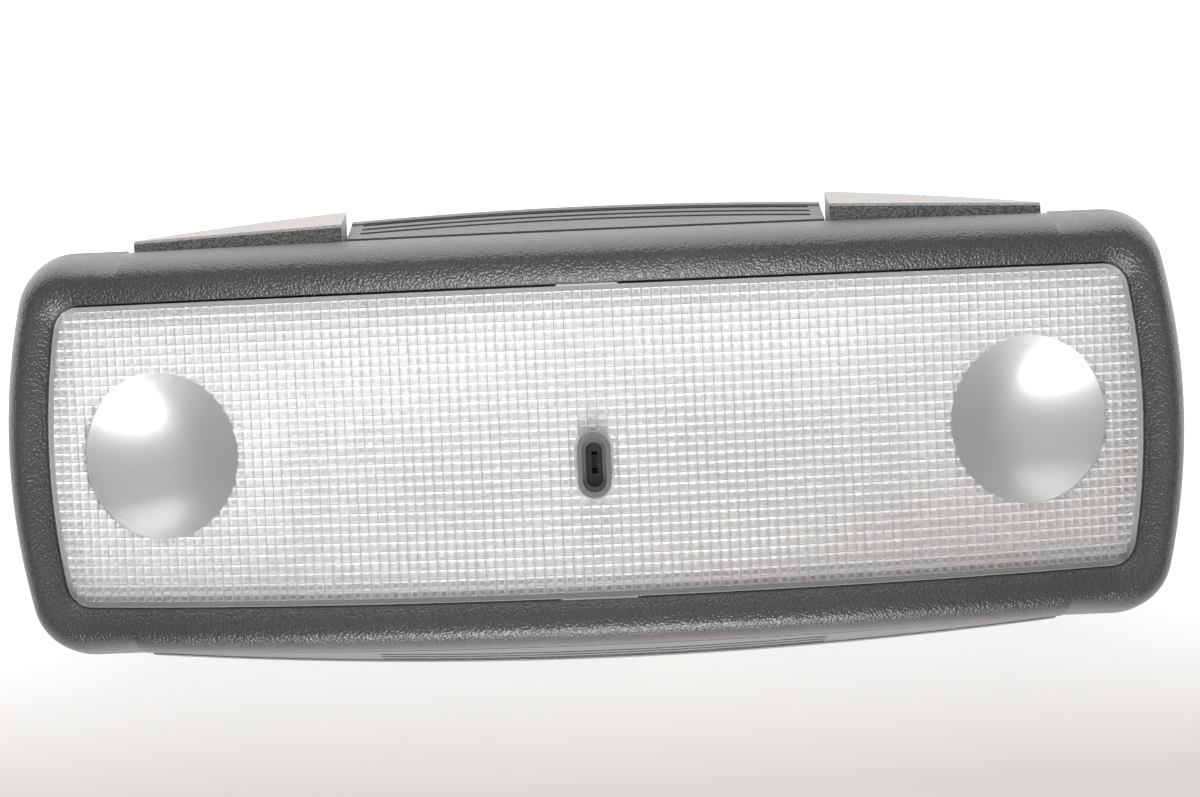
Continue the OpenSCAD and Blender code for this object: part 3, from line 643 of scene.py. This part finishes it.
def blunt_pyramid(verts, corners, u, y):
    """Adds the points of one cell to verts, and returns its faces."""
    faces = []
    for inset, depth in ((GROOVE_IN, SLOPE_T), (PAD_IN, PLATE_T)):
        far = PITCH - inset
        ring = [len(verts) + k for k in range(4)]
        for du, dy in ((inset, inset), (far, inset), (far, far), (inset, far)):
            verts.append(on_arc(u + du, y + dy, depth))
        faces += [(corners[k], ring[k], ring[(k + 1) % 4], corners[(k + 1) % 4]) for k in range(4)]
        corners = ring
    return faces + [corners[::-1]]


def prism_plate():
    """Points and faces of the whole rectangular plate, before it is cut to its outline."""
    us = [(i - COLUMNS / 2) * PITCH for i in range(COLUMNS + 1)]
    ys = [(j - ROWS / 2) * PITCH for j in range(ROWS + 1)]
    verts, faces = [], []
    for u in us:
        verts += [on_arc(u, ys[0], 0.0), on_arc(u, ys[-1], 0.0)]
    back, row = len(verts), ROWS + 1
    for u in us:
        verts += [on_arc(u, y, GROOVE_T) for y in ys]
    for i in range(COLUMNS):
        this, after = back + i * row, back + (i + 1) * row
        faces.append((2 * i, 2 * i + 2, 2 * i + 3, 2 * i + 1))
        faces.append((2 * i, this, after, 2 * i + 2))
        faces.append((2 * i + 1, 2 * i + 3, after + ROWS, this + ROWS))
        for j in range(ROWS):
            corners = [this + j, after + j, after + j + 1, this + j + 1]
            faces += blunt_pyramid(verts, corners, us[i], ys[j])
    end = back + COLUMNS * row
    faces.append([0, 1] + [back + j for j in range(ROWS, -1, -1)])
    faces.append([2 * COLUMNS + 1, 2 * COLUMNS] + [end + j for j in range(ROWS + 1)])
    return verts, faces


plate_verts, plate_faces = prism_plate()
lens = make_piece("prism_lens", plate_verts, plate_faces, lens_clear, "lamp", "clear_lens", 12.0)

# %% [markdown]
# The smooth places of the lens are the two round reading windows, a rim, a collar round
# the sensor's slot and the clip tabs. Cut out of the grid they would have jagged edges.
# So each is a smooth solid of its own that an exact boolean joins to the plate. This cell
# has the tools for it: a loop drawn in the plane, its extrusion, and the boolean.

# %% Helpers: loops, extrusions and booleans
def circle_loop(r, count=96):
    """A circle round the origin."""
    steps = (2 * math.pi * i / count for i in range(count))
    return [(r * math.cos(a), r * math.sin(a)) for a in steps]


def slot_loop(length, width, cy, count=20):
    """A slot with round ends along Y, centred at (0, cy)."""
    r, h = width / 2, (length - width) / 2
    steps = [math.pi * i / count for i in range(count + 1)]
    top = [(r * math.cos(a), cy + h + r * math.sin(a)) for a in steps]
    return top + [(-x, 2 * cy - y) for x, y in top]


def extrusion(name, loop, z0, z1, matrix=Matrix()):
    """A straight solid over a closed loop, from z0 to z1, then moved by matrix."""
    n = len(loop)
    verts = [matrix @ Vector((x, y, z)) * MM for z in (z0, z1) for x, y in loop]
    faces = [list(range(n))[::-1], list(range(n, 2 * n))]
    faces += [(i, (i + 1) % n, n + (i + 1) % n, n + i) for i in range(n)]
    return mesh_object(name, verts, faces)


def combine(target, tool, how):
    """Applies one exact boolean and deletes the tool."""
    mod = target.modifiers.new("cut", "BOOLEAN")
    mod.operation = how
    mod.object = tool
    mod.solver = "EXACT"
    depsgraph = bpy.context.evaluated_depsgraph_get()
    mesh = bpy.data.meshes.new_from_object(target.evaluated_get(depsgraph))
    target.modifiers.clear()
    target.data = mesh
    bpy.data.objects.remove(tool)
    print(how.lower(), "gives", len(mesh.polygons), "faces")


# %% [markdown]
# The reading windows stand square to the bowed face, so each gets a seat: a matrix that
# moves a point from a flat drawing to its place on the arc. The plate is then cut to its
# outline, and the slot and the collar follow. The order matters. What is joined before
# the outline is trimmed with it, and what comes after may stand out.

# %% The lens: windows, collar and outline
WINDOW_R, WINDOW_X = 17.5, 91.0
SLOT_W, SLOT_L, SLOT_Y = 7.0, 13.6, -4.8
COLLAR = 0.5
COLLAR_LOW, COLLAR_TOP = PLATE_T + 0.3, 1.0     # depths under the crown
DISC_LOW, DISC_TOP = -PLATE_T - 1.1, -1.2       # heights from the lens face


def window_seat(side):
    """Placement of a reading window, with z = 0 on the lens face."""
    tilt = Matrix.Rotation(side * math.asin(WINDOW_X / BOW_R), 4, "Y")
    return Matrix.Translation((0, 0, AXIS_Z)) @ tilt @ Matrix.Translation((0, 0, BOW_R))


for side in (-1, 1):
    disc = extrusion("window_disc", circle_loop(WINDOW_R), DISC_LOW, DISC_TOP, window_seat(side))
    combine(lens, disc, "UNION")
collar = slot_loop(SLOT_L + 2 * COLLAR, SLOT_W + 2 * COLLAR, SLOT_Y)
combine(lens, extrusion("collar", collar, CROWN - COLLAR_LOW, CROWN - COLLAR_TOP), "UNION")
outline = full_outline(LENS_HL, LENS_HW, LENS_R)
combine(lens, extrusion("outline", outline, 0.0, CROWN + 5), "INTERSECT")

# %% [markdown]
# The rim is a smooth band about a millimetre wide that hides the cut prisms along the
# outline. It follows the bow, so it is built from four rails: outer and inner edge, above
# and below. Long straight parts of the outline are divided first, or else the band would
# cut the corner of the arc.

# %% The lens: rim, clip tabs and slot
SIDE_RIM, END_RIM = 1.0, 1.1
RIM_IN_R = 4.6                          # corner radius of the rim's inner edge
RIM_TOP, RIM_LOW = 0.6, PLATE_T + 0.1   # depths of its two sides
RIM_STEP = 2.5
SKIN = 0.01                             # keeps the rim just inside the outline
TABS = ((6.2, 1), (7.8, -1))            # half length of a clip tab, and its side
TAB_IN, TAB_OUT = 0.4, 0.38             # how far it reaches in and out
TAB_LOW, TAB_TOP = 2.2, 0.7             # depths under the crown


def divided(loop, counts):
    """The loop with every edge cut into the given number of parts."""
    pts = []
    for i, steps in enumerate(counts):
        (ax, ay), (bx, by) = loop[i], loop[(i + 1) % len(loop)]
        for k in range(steps):
            f = k / steps
            pts.append((ax + (bx - ax) * f, ay + (by - ay) * f))
    return pts


def rim_ring():
    """The smooth rim of the lens, as thick as the plate."""
    outer = full_outline(LENS_HL - SKIN, LENS_HW - SKIN, LENS_R - SKIN)
    inner = full_outline(LENS_HL - END_RIM, LENS_HW - SIDE_RIM, RIM_IN_R)
    ahead = outer[1:] + outer[:1]
    counts = [max(1, int(math.dist(a, b) / RIM_STEP)) for a, b in zip(outer, ahead)]
    verts = []
    for (ox, oy), (ix, iy) in zip(divided(outer, counts), divided(inner, counts)):
        section = (ox, oy, RIM_TOP), (ix, iy, RIM_TOP), (ix, iy, RIM_LOW), (ox, oy, RIM_LOW)
        verts += [Vector((x, y, surf_z(x) - depth)) * MM for x, y, depth in section]
    n = len(verts)
    faces = [(i + k, (i + 4) % n + k, (i + 4) % n + (k + 1) % 4, i + (k + 1) % 4)
             for i in range(0, n, 4) for k in range(4)]
    ring = mesh_object("rim_ring", verts, faces)
    shade(ring, 30.0)
    return ring


combine(lens, rim_ring(), "UNION")
for half, side in TABS:
    y0, y1 = sorted((side * (LENS_HW - TAB_IN), side * (LENS_HW + TAB_OUT)))
    tab = [(-half, y0), (half, y0), (half, y1), (-half, y1)]
    combine(lens, extrusion("clip_tab", tab, CROWN - TAB_LOW, CROWN - TAB_TOP), "UNION")
slot = slot_loop(SLOT_L, SLOT_W, SLOT_Y)
combine(lens, extrusion("slot", slot, 30.0, CROWN + 5), "DIFFERENCE")
shade(lens, 12.0)

# %% [markdown]
# One mesh may have several materials, and each face says which one it takes. Here the
# depth of a face under the front tells what it is: a groove lies shallow, a slope deeper,
# a pad deepest. The rim, the windows and the collar are known from their place.

# %% The lens: a finish for each kind of face
LENS_FINISHES = (lens_clear, prism_frost, pad_shaded_frost, rim_haze, groove_shade)
CLEAR, SLOPE, PAD, RIM, GROOVE = range(5)
MARGIN = 0.05                           # a face this near to a border still counts
WINDOW_EDGE = 0.6


def lens_zone(p):
    """The kind of the face whose centre is p, in millimetres."""
    depth = BOW_R - math.hypot(p.x, p.z - AXIS_Z)
    end = LENS_HL - END_RIM - END_BOW * p.y ** 2
    in_rim = abs(p.x) > end - MARGIN or abs(p.y) > LENS_HW - SIDE_RIM - MARGIN
    in_window = math.hypot(abs(p.x) - WINDOW_X, p.y) < WINDOW_R - WINDOW_EDGE
    reach = COLLAR - MARGIN
    in_collar = abs(p.x) < SLOT_W / 2 + reach and abs(p.y - SLOT_Y) < SLOT_L / 2 + reach
    if depth > 0.5 and (in_rim or in_collar):
        return RIM
    if depth < 1.2 or in_window:
        return CLEAR
    if depth < (GROOVE_T + SLOPE_T) / 2 + 0.06:
        return GROOVE
    return PAD if depth > PLATE_T - 0.08 else SLOPE


lens.data.materials.clear()
for mat in LENS_FINISHES:
    lens.data.materials.append(mat)
for face in lens.data.polygons:
    face.material_index = lens_zone(face.center / MM)
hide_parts("lens")
kinds = [face.material_index for face in lens.data.polygons]
print("lens faces of each kind:", [kinds.count(k) for k in range(len(LENS_FINISHES))])

# %% [markdown]
# Behind each round window lies a satin dish, which hides the bulb and throws its light
# down. Its soft reflections show every facet, and the CAD dish has facets. So the dish is
# turned here like a pot: a smooth parabola gives the inside, a second one the outside,
# and both are spun in 96 steps.

# %% The satin dishes
DISH_TOP = -4.1                         # below the lens face
DISH_R, FLANGE_R = 17.7, 18.1
DISH_DEPTH, DISH_WALL = 9.5, 1.0
RINGS_IN, RINGS_OUT, DISH_STEPS = 28, 14, 96


def parabola(top, i, rings):
    """(radius, height) of ring i, counted from the middle to the edge."""
    return DISH_R * i / rings, top - DISH_DEPTH * (1 - (i / rings) ** 2)


def dish_profile():
    """(radius, height) from the middle of the inside over the rim to the outside."""
    under = DISH_TOP - DISH_WALL
    inside = [parabola(DISH_TOP, i, RINGS_IN) for i in range(1, RINGS_IN + 1)]
    rim = [(FLANGE_R, DISH_TOP), (FLANGE_R, under), (DISH_R, under)]
    return inside + rim + [parabola(under, i, RINGS_OUT) for i in range(RINGS_OUT - 1, 0, -1)]


def turned_dish(side):
    """Points and faces of one dish, standing square to the bowed face."""
    n = DISH_STEPS
    profile = dish_profile()
    points = [(0, 0, DISH_TOP - DISH_DEPTH), (0, 0, DISH_TOP - DISH_WALL - DISH_DEPTH)]
    for r, z in profile:
        points += [(x, y, z) for x, y in circle_loop(r, n)]
    faces = [(0, 2 + i, 2 + (i + 1) % n) for i in range(n)]
    for k in range(len(profile) - 1):
        a, b = 2 + k * n, 2 + (k + 1) * n
        faces += [(a + i, b + i, b + (i + 1) % n, a + (i + 1) % n) for i in range(n)]
    last = 2 + (len(profile) - 1) * n
    faces += [(1, last + (i + 1) % n, last + i) for i in range(n)]
    seat = window_seat(side)
    return [seat @ Vector(p) * MM for p in points], faces


for side, name in ((-1, "left"), (1, "right")):
    dish = make_piece("satin_dish_" + name, *turned_dish(side), bowl_silver, "lamp", "silvered", 30.0)
    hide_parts("reading_dish_" + name)

# %% [markdown]
# Now the light. The world is a tent of soft light: dim near the horizon, so that the
# sides of the bezel stay dark, and brighter overhead, where the lens looks. A ramp over
# the height of the direction does that.

# %% The world
HORIZON, OVERHEAD = 0.2, 0.68
world = bpy.data.worlds.new("light_tent")
bpy.context.scene.world = world
world.use_nodes = True
tent = world.node_tree
tent.nodes.clear()
tent_out = add(tent, "ShaderNodeOutputWorld")
tent_light = add(tent, "ShaderNodeBackground")
tent_coord = add(tent, "ShaderNodeTexCoord")
tent_split = add(tent, "ShaderNodeSeparateXYZ")
tent_ramp = add(tent, "ShaderNodeValToRGB")
for stop, position, level in zip(tent_ramp.color_ramp.elements, (0.05, 0.9), (HORIZON, OVERHEAD)):
    stop.position = position
    stop.color = (level, level, level, 1)
tent.links.new(tent_coord.outputs["Generated"], tent_split.inputs[0])
tent.links.new(tent_split.outputs["Z"], tent_ramp.inputs[0])
tent.links.new(tent_ramp.outputs[0], tent_light.inputs[0])
tent.links.new(tent_light.outputs[0], tent_out.inputs[0])
print("world from", HORIZON, "at the horizon to", OVERHEAD, "overhead")

# %% [markdown]
# The floor is white beyond the lamp; in front of it its colour is painted a darker warm grey, a
# painted shade. Pure white would need a lot of light on the floor, and that light would fall on the
# lamp too. So the floor glows, but only for rays from the camera or from a reflection: painted light
# that is strongest behind the lamp. Otherwise it sheds no light on the lamp, and it keeps the lamp's
# shadow.

# %% The floor
PAINTED_SHADE_TONE, FAR_TONE = (0.56, 0.53, 0.505), (0.92, 0.92, 0.92)
NO_GLOW, FULL_GLOW = (0, 0, 0), (1.1, 1.1, 1.1)


def floor_material():
    """White floor with painted shade in front: it takes the soft shadow, and its painted glow burns
    out to white behind the lamp.
    """
    mat, tree, shader, _ = new_material("white_floor", Roughness=0.6, Emission_Strength=1.0)
    # Base colour: white behind the lamp, painted a darker warm grey in front, a painted shade.
    level = math_node(tree, "ADD", along(tree, (0.0, 6.0, 0.0)), 0.72, clamp=True)
    noise = object_texture(tree, "ShaderNodeTexNoise", Scale=3.0, Detail=4.0)
    mottle = math_node(tree, "MULTIPLY", noise.outputs["Fac"], 0.08)
    tone = math_node(tree, "SUBTRACT", level, mottle, clamp=True)
    tree.links.new(mix_colour(tree, tone, PAINTED_SHADE_TONE, FAR_TONE), shader.inputs["Base Color"])
    path = add(tree, "ShaderNodeLightPath").outputs
    seen = math_node(tree, "MAXIMUM", path["Is Camera Ray"], path["Is Glossy Ray"])
    # The glow rises towards the back of the lamp: painted light.
    burnt = math_node(tree, "ADD", along(tree, (0.0, 8.0, 0.0)), 0.66, clamp=True)
    glow = mix_colour(tree, math_node(tree, "MULTIPLY", seen, burnt), NO_GLOW, FULL_GLOW)
    tree.links.new(glow, shader.inputs["Emission Color"])
    return mat


bpy.ops.mesh.primitive_plane_add(size=6.0)
floor = bpy.context.active_object
floor.name = "floor"
floor.data.materials.append(floor_material())
print("floor of", floor.dimensions.x, "m")

# %% [markdown]
# Two soft lamps stand beyond the long sides. The satin dishes act as mirrors that show
# where: a strong, fairly small light low in front makes the white patch at their top, and
# a wide weak one behind makes the faint patch at their foot. The front one also makes the
# grain of the bevel sparkle.

# %% The lamps
TARGET = (0.0, 0.0, 0.05)


def soft_lamp(name, at, width, height, radiance):
    """An oval softbox with the power of a rectangle of that size and radiance."""
    data = bpy.data.lights.new(name, "AREA")
    data.shape = "ELLIPSE"
    data.size = width
    data.size_y = height
    data.energy = radiance * math.pi * width * height
    obj = bpy.data.objects.new(name, data)
    obj.location = at
    obj.rotation_euler = (Vector(TARGET) - Vector(at)).to_track_quat("-Z", "Y").to_euler()
    bpy.context.scene.collection.objects.link(obj)
    print("%s: %.1f W" % (name, data.energy))


soft_lamp("front_softbox", (0.0, -0.42, 0.27), 0.4, 0.27, 6.5)
soft_lamp("back_softbox", (-0.06, 0.62, 0.2), 1.1, 0.26, 1.9)

# %% [markdown]
# The camera was fitted to the prism grid, whose pitch is known: it looks almost straight
# at the lens from about 41 centimetres, a little from the side with the buttons, and is
# rolled by 2.4 degrees. The fit gives a turn and a shift from lens to camera, so the
# camera's own place is the inverse of both. A focal length in pixels becomes one in
# millimetres through the width of the picture and of the sensor.

# %% The camera
PHOTO_W = 1200.0
FOCAL_PX = 2050.0
CAMERA_TURN = (0.0454, -0.0128, 0.0423)
CAMERA_SHIFT = Vector((-1.387, -8.751, -414.11)) * MM
camera_data = bpy.data.cameras.new("photo_camera")
camera_data.sensor_width = 36.0
camera_data.lens = FOCAL_PX / PHOTO_W * camera_data.sensor_width
camera_data.clip_start = 0.01
camera = bpy.data.objects.new("photo_camera", camera_data)
to_world = Euler(CAMERA_TURN, "XYZ").to_matrix().transposed().to_4x4()
on_crown = Matrix.Translation((0, 0, CROWN * MM))
camera.matrix_world = on_crown @ to_world @ Matrix.Translation(-CAMERA_SHIFT)
bpy.context.scene.collection.objects.link(camera)
bpy.context.scene.camera = camera
bpy.context.scene.view_settings.view_transform = "Standard"
print("camera at", tuple(round(v, 3) for v in camera.matrix_world.translation), "m")
